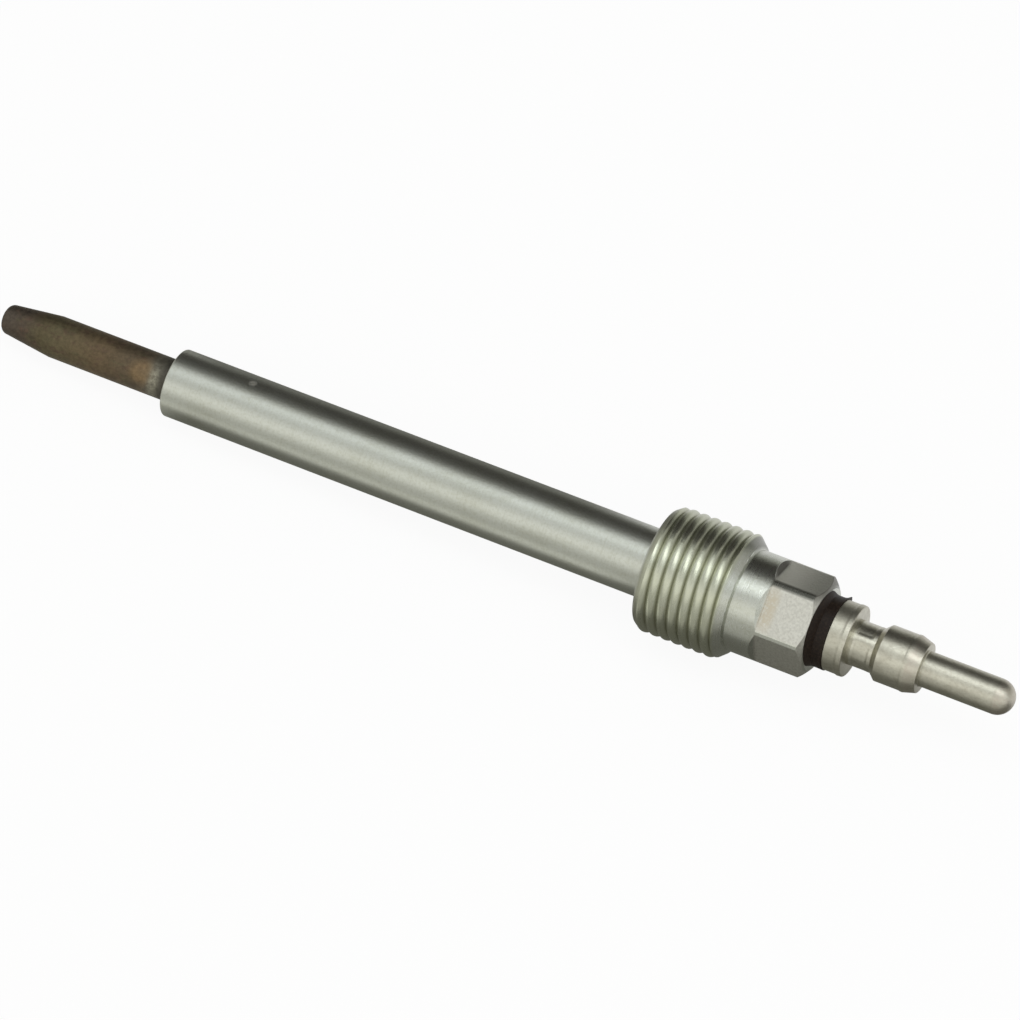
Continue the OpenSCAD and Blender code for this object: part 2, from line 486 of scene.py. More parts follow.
@dataclass(frozen=True)
class PlatedSteel(Finish):
    """Satin plating over turned steel: olive in the thread and grainy on the flats.

    Shade is painted in the thread roots, along one corner, on the end chamfer, on the run-out and in the
    flats' sloping starts, and a light-to-dark reflection is painted along the upper flat.

    Heights and radii are in millimetres, and sides are angles in degrees about the axis.
    """

    name: str = "satin_plating"
    slot: Slot = Slot.BODY_STEEL
    bright: Colour = (0.59, 0.605, 0.555)
    dull: Colour = (0.455, 0.46, 0.385)
    olive: Colour = (0.53, 0.545, 0.42)
    # Painted shade in the thread roots.
    painted_root_shade: Colour = (0.20, 0.19, 0.13)
    flat_pale: Colour = (0.70, 0.685, 0.63)
    flat_grey: Colour = (0.56, 0.545, 0.50)
    flat_tinge: Colour = (0.58, 0.53, 0.43)
    # Painted reflection along the upper flat, light at its start and dark at its end.
    upper_painted_light: Colour = (0.78, 0.77, 0.70)
    upper_painted_dark: Colour = (0.28, 0.275, 0.245)
    # Painted shade on one corner, the end chamfer, the run-out and the flats' sloping starts.
    painted_shade: Colour = (0.075, 0.072, 0.060)
    speck: Colour = (0.24, 0.17, 0.14)
    shank_to: float = -0.3
    thread_from: float = 0.2
    thread_to: float = 9.3
    crest_radius: float = 6.9
    root_radius: float = 6.5
    cone_from: float = 9.25
    cone_to: float = 10.15
    scallop_from: float = 12.75
    scallop_to: float = 13.6
    flat_from: float = 13.45
    flat_to: float = 18.9
    flat_radius: float = 5.0
    corner_radius: float = 5.65
    end_face: float = 19.05
    end_radius: float = 4.65
    end_slope: float = 4.0 / 3.0
    near_flat: float = 212.5
    upper_flat: float = 152.5
    tinge_len: float = 1.4
    tinge_spot: Spot = Spot(centre=(-4.2, -2.7, 14.0), size=3.2)
    # Deepest part of the painted shade in the flats' sloping starts.
    shade_spot: Spot = Spot(centre=(-4.4, 2.3, 13.2), size=3.4)
    speck_spot: Spot = Spot(centre=(-3.68, 1.13, -49.0), size=0.6)
    # Sides of the painted shade on one corner, the end chamfer and the run-out.
    edge_shade: PaintedShadeSide = PaintedShadeSide(angle=176.0, start=5.40, full=5.55, share=0.7)
    end_shade: PaintedShadeSide = PaintedShadeSide(angle=140.0, start=3.2, full=4.6, share=0.75)
    cone_shade: PaintedShadeSide = PaintedShadeSide(angle=121.0, start=4.5, full=5.6, share=0.65)

    def surface(self, graph: Graph, at: PlugCoords) -> Mapping[str, object]:
        """Gives the inputs of the surface shader.

        Args:
            graph: Graph of the material.
            at: Place on the plug's surface.

        Returns:
            Value or link of each input, by its name.
        """
        lines = graph.noise(graph.stretched(at.vector, (0.25, 0.25, 9.0)), scale=1.0, detail=3.0, rough=0.6)
        grain = graph.noise(at.vector, scale=3.6, detail=3.0, rough=0.65)
        cloud = graph.noise(graph.stretched(at.vector, (1.0, 1.0, 0.35)), scale=0.45, detail=3.0, rough=0.55)
        mottled = grain.smooth(0.3, 0.7)
        worked = at.height.smooth(self.shank_to - 0.5, self.shank_to + 0.5)
        in_thread = at.band(self.thread_from, self.thread_to, 0.2)
        rooted = at.radius.smooth(self.crest_radius, self.root_radius) * in_thread
        flat = at.radius.smooth(self.corner_radius - 0.01, self.corner_radius - 0.06)
        flat = flat * at.band(self.flat_from, self.flat_to, 0.05)
        upper = flat * at.toward(self.upper_flat).smooth(self.flat_radius - 0.12, self.flat_radius - 0.04)
        # Painted reflection along the upper flat; the same ramp makes the flat smoother towards its end.
        along_flat = at.height.smooth(self.flat_from, self.flat_to - 0.4)
        painted_reflection = graph.mix(along_flat, self.upper_painted_light, self.upper_painted_dark)
        stain = cloud.smooth(0.42, 0.75) * 0.35 + lines.smooth(0.45, 0.8) * 0.3
        stain = stain + grain.smooth(0.4, 0.7) * 0.4
        colour = graph.mix(stain.clipped(), self.bright, self.dull)
        colour = graph.mix(in_thread * (0.5 + cloud * 0.5), colour, self.olive)
        # Painted shade in the thread roots.
        colour = graph.mix(rooted * 0.5, colour, self.painted_root_shade)
        colour = graph.mix(flat * 0.8, colour, graph.mix(mottled, self.flat_pale, self.flat_grey))
        # Painted reflection on the upper flat.
        colour = graph.mix(upper * (0.92 - mottled * 0.2), colour, painted_reflection)
        # Painted shade on one corner, the end chamfer and the run-out.
        for shade_mask in self._painted_shades(at):
            colour = graph.mix(shade_mask, colour, self.painted_shade)
        tinge = flat * at.band(self.flat_from, self.flat_from + self.tinge_len, 0.4)
        tinge = tinge * self.tinge_spot.mask(at)
        colour = graph.mix(tinge * grain.smooth(0.2, 0.6), colour, self.flat_tinge)
        # Painted shade in the flats' sloping starts.
        colour = graph.mix(self._scallop_shade(at), colour, self.painted_shade)
        speck = self.speck_spot.mask(at) * (0.05 + grain * 0.55)
        colour = graph.mix(speck, colour, self.speck)
        rough = 0.27 + lines * 0.12 + grain * 0.05 - worked * 0.07
        rough = rough + flat * 0.16 + rooted * 0.12 - upper * along_flat * 0.14
        coarse = graph.bump(cloud, depth=0.012)
        fine = graph.bump(lines * 0.6 + grain * (0.6 + flat), depth=0.018, under=coarse)
        return {"Base Color": colour, "Metallic": 1.0 - speck, "Roughness": rough, "Normal": fine}

    def _painted_shades(self, at: PlugCoords) -> list[Signal]:
        """Marks the painted shade along one corner, on the hexagon's end chamfer and on the thread's
        run-out.

        Args:
            at: Place on the plug's surface.

        Returns:
            One mask for each.
        """
        corner = at.band(self.flat_from, self.flat_to - 0.6, 0.15)
        chamfer = at.radius - (self.end_face - at.height) * self.end_slope
        chamfer = chamfer.smooth(self.end_radius - 0.08, self.end_radius - 0.01)
        cone = at.radius.smooth(self.corner_radius, self.corner_radius + 0.1)
        cone = cone * at.band(self.cone_from, self.cone_to, 0.1)
        return [
            corner * self.edge_shade.mask(at),
            chamfer * self.end_shade.mask(at),
            cone * self.cone_shade.mask(at),
        ]

    def _scallop_shade(self, at: PlugCoords) -> Signal:
        """Marks the painted shade in the sloping starts of the flats, apart from the near one.

        Args:
            at: Place on the plug's surface.

        Returns:
            The mask.
        """
        cut = at.radius.smooth(self.corner_radius, self.corner_radius - 0.04)
        cut = cut * at.band(self.scallop_from, self.scallop_to, 0.1)
        cut = cut * at.toward(self.near_flat).smooth(self.flat_radius - 0.05, self.flat_radius - 0.4)
        return cut * (0.25 + self.shade_spot.mask(at) * 0.75)


@dataclass(frozen=True)
class HeatTintedAlloy(Finish):
    """Alloy tube with the colours that its own heat has left along it.

    The stops run from the tip to the end of the shank.
    """

    name: str = "heat_tinted_alloy"
    slot: Slot = Slot.TUBE_ALLOY
    tip: float = -79.45
    shank_end: float = -58.2
    straw: Colour = (0.30, 0.20, 0.10)
    straw_spot: Spot = Spot(centre=(-1.85, -1.49, -61.6), size=2.0)
    umber: Colour = (0.125, 0.080, 0.058)
    moss: Colour = (0.120, 0.108, 0.062)
    pale: Colour = (0.320, 0.305, 0.240)
    pale_spot: Spot = Spot(centre=(-1.2, -2.05, -60.1), size=2.5)
    mottle_to: float = -61.3
    stops: tuple[tuple[float, Colour], ...] = (
        (0.00, (0.100, 0.082, 0.066)),
        (0.15, (0.100, 0.077, 0.057)),
        (0.24, (0.112, 0.091, 0.052)),
        (0.33, (0.134, 0.111, 0.064)),
        (0.59, (0.150, 0.109, 0.064)),
        (0.80, (0.125, 0.096, 0.064)),
        (0.86, (0.155, 0.123, 0.085)),
        (0.90, (0.165, 0.150, 0.115)),
        (0.95, (0.115, 0.107, 0.086)),
        (1.00, (0.050, 0.045, 0.038)),
    )

    def surface(self, graph: Graph, at: PlugCoords) -> Mapping[str, object]:
        """Gives the inputs of the surface shader.

        Args:
            graph: Graph of the material.
            at: Place on the plug's surface.

        Returns:
            Value or link of each input, by its name.
        """
        cloud = graph.noise(at.vector, scale=0.6, detail=3.0, rough=0.6)
        grain = graph.noise(at.vector, scale=2.3, detail=4.0, rough=0.65).smooth(0.25, 0.75)
        lines = graph.noise(graph.stretched(at.vector, (0.3, 0.3, 7.0)), scale=1.0, detail=2.0)
        along = (at.height - self.tip) / (self.shank_end - self.tip) + (cloud - 0.5) * 0.04
        tint = graph.add("Color", "ShaderNodeValToRGB", {"stops": self.stops}, {"Fac": along})
        browned = graph.noise(graph.stretched(at.vector, (1.0, 1.0, 0.6)), scale=1.6, detail=3.0, rough=0.6)
        greened = graph.noise(graph.stretched(at.vector, (1.0, 1.0, 0.5)), scale=1.1, detail=3.0, rough=0.6)
        away = at.height.smooth(self.mottle_to + 0.5, self.mottle_to - 0.5)
        tint = graph.mix(browned.smooth(0.5, 0.68) * 0.55 * away, tint, self.umber)
        tint = graph.mix(greened.smooth(0.52, 0.70) * 0.5 * away, tint, self.moss)
        tint = graph.mix(self.straw_spot.mask(at) * (0.1 + cloud * 0.75), tint, self.straw)
        ring_height = self.pale_spot.centre[2]
        paled = self.pale_spot.mask(at) * at.band(ring_height - 0.4, ring_height + 0.6, 0.4)
        tint = graph.mix(paled * (0.3 + grain * 0.7), tint, self.pale)
        shade = 0.62 + cloud * 0.3 + grain * 0.46
        grey = graph.add("Color", "ShaderNodeCombineColor", {}, {0: shade, 1: shade, 2: shade})
        colour = graph.mix(1.0, tint, grey, "MULTIPLY")
        rough = 0.48 + grain * 0.10 + cloud * 0.06
        coarse = graph.bump(cloud, depth=0.02)
        fine = graph.bump(grain * 0.6 + lines * 0.4, depth=0.012, under=coarse)
        return {"Base Color": colour, "Metallic": 0.85, "Roughness": rough, "Normal": fine}


@dataclass(frozen=True)
class MouldedInsulator(Finish):
    """Dull brown-black moulded plastic with a dusty surface."""

    name: str = "moulded_insulator"
    slot: Slot = Slot.INSULATOR
    dark: Colour = (0.009, 0.005, 0.0035)
    dusty: Colour = (0.030, 0.019, 0.012)

    def surface(self, graph: Graph, at: PlugCoords) -> Mapping[str, object]:
        """Gives the inputs of the surface shader.

        Args:
            graph: Graph of the material.
            at: Place on the plug's surface.

        Returns:
            Value or link of each input, by its name.
        """
        grain = graph.noise(at.vector, scale=4.0, detail=4.0, rough=0.6)
        cloud = graph.noise(at.vector, scale=0.9, detail=2.0)
        colour = graph.mix((grain.smooth(0.4, 0.75) * 0.7 + cloud * 0.2).clipped(), self.dark, self.dusty)
        rough = 0.38 + grain * 0.2
        relief = graph.bump(grain, depth=0.015)
        return {"Base Color": colour, "Roughness": rough, "Specular IOR Level": 0.2, "Normal": relief}


@dataclass(frozen=True)
class DullNickel(Finish):
    """Dull warm plating on the turned terminal, with turning lines and a faint rosy bloom."""

    name: str = "dull_nickel"
    slot: Slot = Slot.TERMINAL_METAL
    bright: Colour = (0.61, 0.595, 0.51)
    dull: Colour = (0.46, 0.44, 0.365)
    bloom: Colour = (0.55, 0.475, 0.42)
    collar_end: float = 22.8
    nose: float = 29.4
    bloom_len: float = 1.2
    pin_from: float = 30.8
    ball: float = 39.05

    def surface(self, graph: Graph, at: PlugCoords) -> Mapping[str, object]:
        """Gives the inputs of the surface shader.

        Args:
            graph: Graph of the material.
            at: Place on the plug's surface.

        Returns:
            Value or link of each input, by its name.
        """
        lines = graph.noise(graph.stretched(at.vector, (0.3, 0.3, 12.0)), scale=1.0, detail=3.0, rough=0.6)
        grain = graph.noise(graph.stretched(at.vector, (1.0, 1.0, 0.7)), scale=3.8, detail=3.0, rough=0.65)
        cloud = graph.noise(at.vector, scale=0.8, detail=2.0)
        collar = at.height.smooth(self.collar_end + 0.1, self.collar_end - 0.1)
        spotty = cloud.smooth(0.35, 0.7) * 0.4 + lines * 0.25 + grain.smooth(0.4, 0.7) * 0.5 + collar * 0.1
        colour = graph.mix(spotty.clipped(), self.bright, self.dull)
        rosy = at.band(self.nose, self.nose + self.bloom_len, 0.4)
        rosy = rosy + at.height.smooth(self.ball - 0.2, self.ball + 0.3)
        colour = graph.mix((rosy * grain.smooth(0.2, 0.7) * 0.45).clipped(), colour, self.bloom)
        mark = at.band(self.ball - 0.05, self.ball + 0.1, 0.1) * 0.45
        colour = graph.mix(mark, colour, self.dull)
        pin = at.height.smooth(self.pin_from - 0.1, self.pin_from)
        rough = 0.24 + lines * 0.10 + grain * 0.10 + collar * 0.06 + pin * 0.04
        fine = graph.bump(lines * 0.4 + grain * 0.6, depth=0.020)
        return {"Base Color": colour, "Metallic": 1.0, "Roughness": rough, "Normal": fine}


@dataclass(frozen=True)
class HiddenPiece(Finish):
    """Plain finish of a sealed piece, mottled between two colours."""

    name: str
    slot: Slot
    first: Colour
    second: Colour
    metallic: float
    rough: float
    grains: float

    def surface(self, graph: Graph, at: PlugCoords) -> Mapping[str, object]:
        """Gives the inputs of the surface shader.

        Args:
            graph: Graph of the material.
            at: Place on the plug's surface.

        Returns:
            Value or link of each input, by its name.
        """
        grain = graph.noise(at.vector, scale=self.grains, detail=3.0, rough=0.6)
        colour = graph.mix(grain.smooth(0.3, 0.7), self.first, self.second)
        return {
            "Base Color": colour,
            "Metallic": self.metallic,
            "Roughness": self.rough + grain * 0.15,
            "Normal": graph.bump(grain, depth=0.01),
        }


HIDDEN_FINISHES: Mapping[tuple[str, ...], HiddenPiece] = {
    ("heating_coil", "regulating_coil"): HiddenPiece(
        name="resistance_wire",
        slot=Slot.COIL_ALLOY,
        first=(0.42, 0.39, 0.35),
        second=(0.30, 0.28, 0.26),
        metallic=1.0,
        rough=0.3,
        grains=6.0,
    ),
    ("filling_powder",): HiddenPiece(
        name="packed_powder",
        slot=Slot.POWDER,
        first=(0.84, 0.81, 0.74),
        second=(0.74, 0.71, 0.64),
        metallic=0.0,
        rough=0.8,
        grains=9.0,
    ),
    ("tube_seal",): HiddenPiece(
        name="silicone_seal",
        slot=Slot.TUBE_SEAL,
        first=(0.27, 0.07, 0.04),
        second=(0.20, 0.05, 0.03),
        metallic=0.0,
        rough=0.55,
        grains=4.0,
    ),
    ("terminal_rod",): HiddenPiece(
        name="drawn_steel",
        slot=Slot.ROD_STEEL,
        first=(0.47, 0.47, 0.45),
        second=(0.37, 0.37, 0.35),
        metallic=1.0,
        rough=0.3,
        grains=3.0,
    ),
    ("body_seal",): HiddenPiece(
        name="black_rubber",
        slot=Slot.SEAL_RUBBER,
        first=(0.018, 0.018, 0.018),
        second=(0.03, 0.03, 0.03),
        metallic=0.0,
        rough=0.6,
        grains=5.0,
    ),
}


# Turned meshes


def ring(height: float, radius: float) -> Ring:
    """Gives a plain circle about the axis."""
    return lambda angle: (height, radius)


def rounding(
    height: float, radius: float, bend: float, first: float, last: float, steps: int = 8
) -> list[Ring]:
    """Gives the circles of a rounded edge.

    Args:
        height: Height of the rounding's centre.
        radius: Distance of that centre from the axis.
        bend: Radius of the rounding.
        first: Angle where it starts, in degrees from straight outwards towards +Z.
        last: Angle where it ends.
        steps: Number of steps in it.

    Returns:
        The circles in order.
    """
    angles = [math.radians(first + (last - first) * step / steps) for step in range(steps + 1)]
    return [ring(height + bend * math.sin(angle), radius + bend * math.cos(angle)) for angle in angles]


def soft_step(low: float, high: float, value: float) -> float:
    """Gives a smooth step from 0 at the first value to 1 at the second."""
    part = min(max((value - low) / (high - low), 0.0), 1.0)
    return part * part * (3.0 - 2.0 * part)


def turned(
    rings: Sequence[Ring], columns: int, start: float = 0.0, looped: bool = False
) -> bmesh.types.BMesh:
    """Joins circles about the axis to a surface.

    Args:
        rings: Height and radius at an angle in radians, one for each circle.
        columns: Points on each circle.
        start: Angle of the first point, in degrees.
        looped: Whether the last circle is joined to the first.

    Returns:
        The surface, with its doubles still in it.
    """
    made = bmesh.new()
    angles = [math.radians(start) + math.tau * column / columns for column in range(columns)]
    rows = []
    for at in rings:
        row = []
        for angle in angles:
            height, radius = at(angle)
            row.append(made.verts.new((radius * math.cos(angle), radius * math.sin(angle), height)))
        rows.append(row)
    pairs = list(zip(rows, rows[1:]))
    if looped:
        pairs.append((rows[-1], rows[0]))
    for lower, upper in pairs:
        for column in range(columns):
            after = (column + 1) % columns
            made.faces.new((lower[column], lower[after], upper[after], upper[column]))
    return made


def finished(made: bmesh.types.BMesh, name: str, axis: PlugAxis, crease: float) -> bpy.types.Object:
    """Welds a surface, lays it on the plug's axis and makes it an object.

    Args:
        made: The surface, which is used up.
        name: Name of the piece.
        axis: The plug's axis.
        crease: Angle in degrees above which an edge stays sharp.

    Returns:
        The object, at the origin, with its place in its mesh.
    """
    bmesh.ops.remove_doubles(made, verts=made.verts, dist=WELD)
    bmesh.ops.dissolve_degenerate(made, edges=made.edges, dist=WELD)
    bmesh.ops.recalc_face_normals(made, faces=made.faces)
    open_edges = sum(not edge.is_manifold for edge in made.edges)
    made.transform(axis.place)
    mesh = bpy.data.meshes.new(name)
    made.to_mesh(mesh)
    made.free()
    mesh.shade_smooth()
    mesh.set_sharp_from_angle(angle=math.radians(crease))
    piece = bpy.data.objects.new(name, mesh)
    bpy.context.scene.collection.objects.link(piece)
    LOG.info("%s: %d faces, %d open edges", name, len(mesh.polygons), open_edges)
    return piece


# Screw thread


@dataclass(frozen=True)
class ThreadTree:
    """Geometry Nodes tree of a right-hand screw thread between two end faces.

    A grid is wound about the axis. Its rows climb one pitch in a turn, so that
    each row follows the helix and meets a later row where the turn closes.
    """

    name: str = "screw_thread"
    sizes: tuple[str, ...] = (
        "Pitch",
        "Crest radius",
        "Crest power",
        "Root radius",
        "Length",
        "Face radius",
        "Lead length",
        "Run-out length",
        "Step length",
        "Step radius",
        "Inner radius",
        "Neck radius",
        "First angle",
        "Thread turn",
    )
    counts: tuple[str, ...] = ("Columns", "Rows", "Rows in a turn")

    def build(self) -> bpy.types.GeometryNodeTree:
        """Builds the tree.

        Returns:
            The tree, with named inputs for the thread's sizes and its material.
        """
        tree = bpy.data.node_groups.new(self.name, "GeometryNodeTree")
        graph = Graph(tree)
        tree.interface.new_socket("Geometry", in_out="OUTPUT", socket_type="NodeSocketGeometry")
        for name in self.sizes:
            tree.interface.new_socket(name, in_out="INPUT", socket_type="NodeSocketFloat")
        for name in self.counts:
            tree.interface.new_socket(name, in_out="INPUT", socket_type="NodeSocketInt")
        tree.interface.new_socket("Material", in_out="INPUT", socket_type="NodeSocketMaterial")
        given = graph.node("NodeGroupInput")
        size = {socket.name: Signal(graph, socket) for socket in given.outputs if socket.name}
        grid = graph.node(
            "GeometryNodeMeshGrid",
            {},
            {"Size X": 1.0, "Size Y": 1.0, "Vertices X": size["Columns"] + 1.0, "Vertices Y": size["Rows"]},
        )
        place = graph.node("ShaderNodeSeparateXYZ", {}, {0: graph.add(0, "GeometryNodeInputPosition")})
        part = Signal(graph, place.outputs["X"]) + 0.5
        row = graph.math("ROUND", (Signal(graph, place.outputs["Y"]) + 0.5) * (size["Rows"] - 1.0))
        turns = (row - 1.0) / size["Rows in a turn"] - 1.0
        height = ((turns + part) * size["Pitch"]).most(0.0).least(size["Length"])
        radius = self._section(graph, size, turns, height)
        is_face = row.least(1.0)
        radius = size["Inner radius"] * (1.0 - is_face) + radius * is_face
        angle = size["First angle"] + part * math.tau
        wound = graph.add(
            0,
            "ShaderNodeCombineXYZ",
            {},
            {
                0: radius * graph.math("COSINE", angle),
                1: radius * graph.math("SINE", angle),
                2: height * is_face,
            },
        )
        grid_mesh = Signal(graph, grid.outputs["Mesh"])
        shaped = graph.add(0, "GeometryNodeSetPosition", {}, {"Geometry": grid_mesh, "Position": wound})
        closed = graph.add(0, "GeometryNodeMergeByDistance", {}, {"Geometry": shaped, "Distance": WELD})
        real = graph.add(0, "GeometryNodeRealizeInstances", {}, {"Geometry": closed})
        sockets = {"Geometry": real, "Material": size["Material"]}
        dressed = graph.add(0, "GeometryNodeSetMaterial", {}, sockets)
        graph.node("NodeGroupOutput", {}, {0: dressed})
        return tree

    @staticmethod
    def _section(graph: Graph, size: Mapping[str, Signal], turns: Signal, height: Signal) -> Signal:
        """Gives the thread's radius.

        Args:
            graph: Graph of the tree.
            size: The tree's inputs by name.
            turns: Turns of the row along the thread.
            height: Height above the front face.

        Returns:
            The radius, cut back by the lead chamfer, the run-out cone and the step down to the neck.
        """
        off_crest = graph.math("ABSOLUTE", graph.math("FRACT", turns + size["Thread turn"]) - 0.5)
        fall = graph.math("POWER", off_crest * 2.0, size["Crest power"])
        thread = size["Crest radius"] - (size["Crest radius"] - size["Root radius"]) * fall
        lead_rise = size["Crest radius"] - size["Face radius"]
        lead = size["Face radius"] + lead_rise * height / size["Lead length"]
        left = size["Length"] - height
        step_drop = size["Step radius"] - size["Neck radius"]
        step = size["Neck radius"] + step_drop * left / size["Step length"]
        drop = size["Crest radius"] - size["Step radius"]
        cone_len = size["Run-out length"] - size["Step length"]
        run_out = size["Step radius"] + drop * (left - size["Step length"]) / cone_len
        return thread.least(lead).least(run_out).least(step)


# Sub-assemblies


class TurnedPiece:
    """Base of every piece that is turned about the plug's axis and stands for a CAD node."""

    axis: PlugAxis
    finish: Finish
    name: str
    node: str
    crease: float

    @cached_property
    def span(self) -> Span:
        """Measures the CAD node."""
        return self.axis.span(self.node)

    @cached_property
    def material(self) -> bpy.types.Material:
        """Makes the piece's material."""
        return self.finish.material(self.axis)

    def shape(self) -> bmesh.types.BMesh:
        """Makes the piece's surface, in millimetres about the axis."""
        raise NotImplementedError

    def build(self) -> bpy.types.Object:
        """Makes the piece, with its finish and its place in the frame.

        Returns:
            The piece.
        """
        piece = finished(self.shape(), self.name, self.axis, self.crease)
        piece.data.materials.append(self.material)
        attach(piece, BODY)
        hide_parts(self.node)
        return piece


@dataclass
class PlugBody(TurnedPiece):
    """Body turned from one bar: shank, threaded collar, neck and hexagon."""

    axis: PlugAxis
    finish: PlatedSteel
    name: str = "body_shell"
    node: str = "plug_body"
    crease: float = 14.0
    shank_d: float = 7.7
    shank_round: float = 0.2
    mouth_chamfer: float = 0.15
    tube_d: float = 4.75
    bore_d: float = 4.4
    counterbore_d: float = 7.0
    counterbore_depth: float = 6.6
    fillet: float = 0.4
    face_d: float = 12.9
    lead_len: float = 0.5
    lead_soft: float = 0.25
    thread_len: float = 10.2
    pitch: float = 1.25
    thread_depth: float = 0.42
    crest_power: float = 2.0
    thread_turn: float = 0.54
    runout_len: float = 1.15
    step_len: float = 0.15
    step_d: float = 12.2
    blank_d: float = 11.3
    neck_len: float = 3.4
    flats: int = 6
    hex_af: float = 10.0
    flat_slope: float = 48.0
    hex_chamfer_len: float = 0.75
    hex_face_d: float = 9.3
    roll: float = 2.5
    columns: int = 192
    thread_rows: int = 24

    def shape(self) -> bmesh.types.BMesh:
        """Makes the body's surface.

        Returns:
            The turned surface with the thread.
        """
        made = turned(self._rings(), self.columns, self.roll)
        thread = self._thread()
        made.from_mesh(thread)
        bpy.data.meshes.remove(thread)
        return made

    def _thread(self) -> bpy.types.Mesh:
        """Makes the thread from its Geometry Nodes tree.

        Returns:
            Its plain mesh, in millimetres about the axis.
        """
        tree = ThreadTree().build()
        turns = self.thread_len / self.pitch + 1.0
        values = {
            "Pitch": self.pitch,
            "Crest radius": self.span.radius,
            "Crest power": self.crest_power,
            "Root radius": self.span.radius - self.thread_depth,
            "Length": self.thread_len,
            "Face radius": self.face_d / 2,
            "Lead length": self.lead_len + self.lead_soft,
            "Run-out length": self.runout_len,
            "Step length": self.step_len,
            "Step radius": self.step_d / 2,
            "Inner radius": self.shank_d / 2 + self.fillet,
            "Neck radius": self.blank_d / 2,
            "First angle": math.radians(self.roll),
            "Thread turn": self.thread_turn,
            "Columns": self.columns,
            "Rows": math.ceil(turns * self.thread_rows) + 2,
            "Rows in a turn": self.thread_rows,
            "Material": self.material,
        }
        blank = bpy.data.meshes.new("thread_holder")
        holder = bpy.data.objects.new("thread_holder", blank)
        bpy.context.scene.collection.objects.link(holder)
        modifier = holder.modifiers.new("thread", "NODES")
        modifier.node_group = tree
        for socket in tree.interface.items_tree:
            if socket.in_out == "INPUT":
                modifier[socket.identifier] = values[socket.name]
        seen = holder.evaluated_get(bpy.context.evaluated_depsgraph_get())
        mesh = bpy.data.meshes.new_from_object(seen)
        bpy.data.objects.remove(holder)
        bpy.data.meshes.remove(blank)
        return mesh

    def _rings(self) -> list[Ring]:
        """Gives the circles from the neck round the hexagon and the bores to the front of the thread.

        Returns:
            The circles in order.
        """
        span = self.span
        tube_rear = self.axis.span("glow_tube").high
        shank_r = self.shank_d / 2
        tube_r = self.tube_d / 2
        counterbore_floor = span.high - self.counterbore_depth
        return [
            ring(self.thread_len, self.blank_d / 2),
            self._shoulder,
            self._flat_front,
            self._chamfer_front,
            ring(span.high, self.hex_face_d / 2),
            ring(span.high, self.counterbore_d / 2),
            ring(counterbore_floor, self.counterbore_d / 2),
            ring(counterbore_floor, self.bore_d / 2),
            ring(tube_rear, self.bore_d / 2),
            ring(tube_rear, tube_r),
            ring(span.low + self.mouth_chamfer, tube_r),
            ring(span.low, tube_r + self.mouth_chamfer),
            *rounding(span.low + self.shank_round, shank_r - self.shank_round, self.shank_round, -90, 0),
            *rounding(-self.fillet, shank_r + self.fillet, self.fillet, 180, 90),
        ]

    def _off_flat(self, angle: float) -> float:
        """Gives the angle from the middle of the nearest flat, in radians."""
        turn = 360.0 / self.flats
        return math.radians((math.degrees(angle) - self.roll) % turn - turn / 2)

    def _hex_radius(self, angle: float) -> float:
        """Gives the hexagon's radius, on a flat or on a corner left from the round blank."""
        return min(self.hex_af / 2 / math.cos(self._off_flat(angle)), self.blank_d / 2)

    def _shoulder(self, angle: float) -> tuple[float, float]:
        """Gives the line where the sloping start of a flat meets the round blank.

        Args:
            angle: Angle about the axis, in radians.

        Returns:
            Height and radius.
        """
        blank_r = self.blank_d / 2
        depth = max(blank_r * math.cos(self._off_flat(angle)) - self.hex_af / 2, 0.0)
        back = depth / math.tan(math.radians(self.flat_slope))
        return self.thread_len + self.neck_len - back, blank_r

    def _flat_front(self, angle: float) -> tuple[float, float]:
        """Gives the line where a flat reaches its full depth."""
        return self.thread_len + self.neck_len, self._hex_radius(angle)

    def _chamfer_front(self, angle: float) -> tuple[float, float]:
        """Gives the line where the end chamfer leaves a flat or a corner.

        Args:
            angle: Angle about the axis, in radians.

        Returns:
            Height and radius.
        """
        radius = self._hex_radius(angle)
        share = (radius - self.hex_face_d / 2) / (self.blank_d / 2 - self.hex_face_d / 2)
        return self.span.high - self.hex_chamfer_len * share, radius


@dataclass
class GlowTube(TurnedPiece):
    """Sheath with a closed, tapered end."""

    axis: PlugAxis
    finish: HeatTintedAlloy
    name: str = "tube_sheath"
    node: str = "glow_tube"
    crease: float = 30.0
    wall: float = 0.6
    tip_d: float = 3.4
    tip_len: float = 6.3
    tip_round: float = 0.8
    tip_wall: float = 1.0
    columns: int = 128

    def shape(self) -> bmesh.types.BMesh:
        """Makes the tube's surface.

        Returns:
            The turned surface.
        """
        span = self.span
        tip_r = self.tip_d / 2
        taper_end = span.low + self.tip_len
        floor = span.low + self.tip_wall
        rings = [
            ring(span.low, 0.0),
            *rounding(span.low + self.tip_round, tip_r - self.tip_round, self.tip_round, -90, 0),
            ring(taper_end, span.radius),
            ring(span.high, span.radius),
            ring(span.high, span.radius - self.wall),
            ring(taper_end, span.radius - self.wall),
            ring(floor, tip_r - self.wall),
            ring(floor, 0.0),
        ]
        return turned(rings, self.columns)


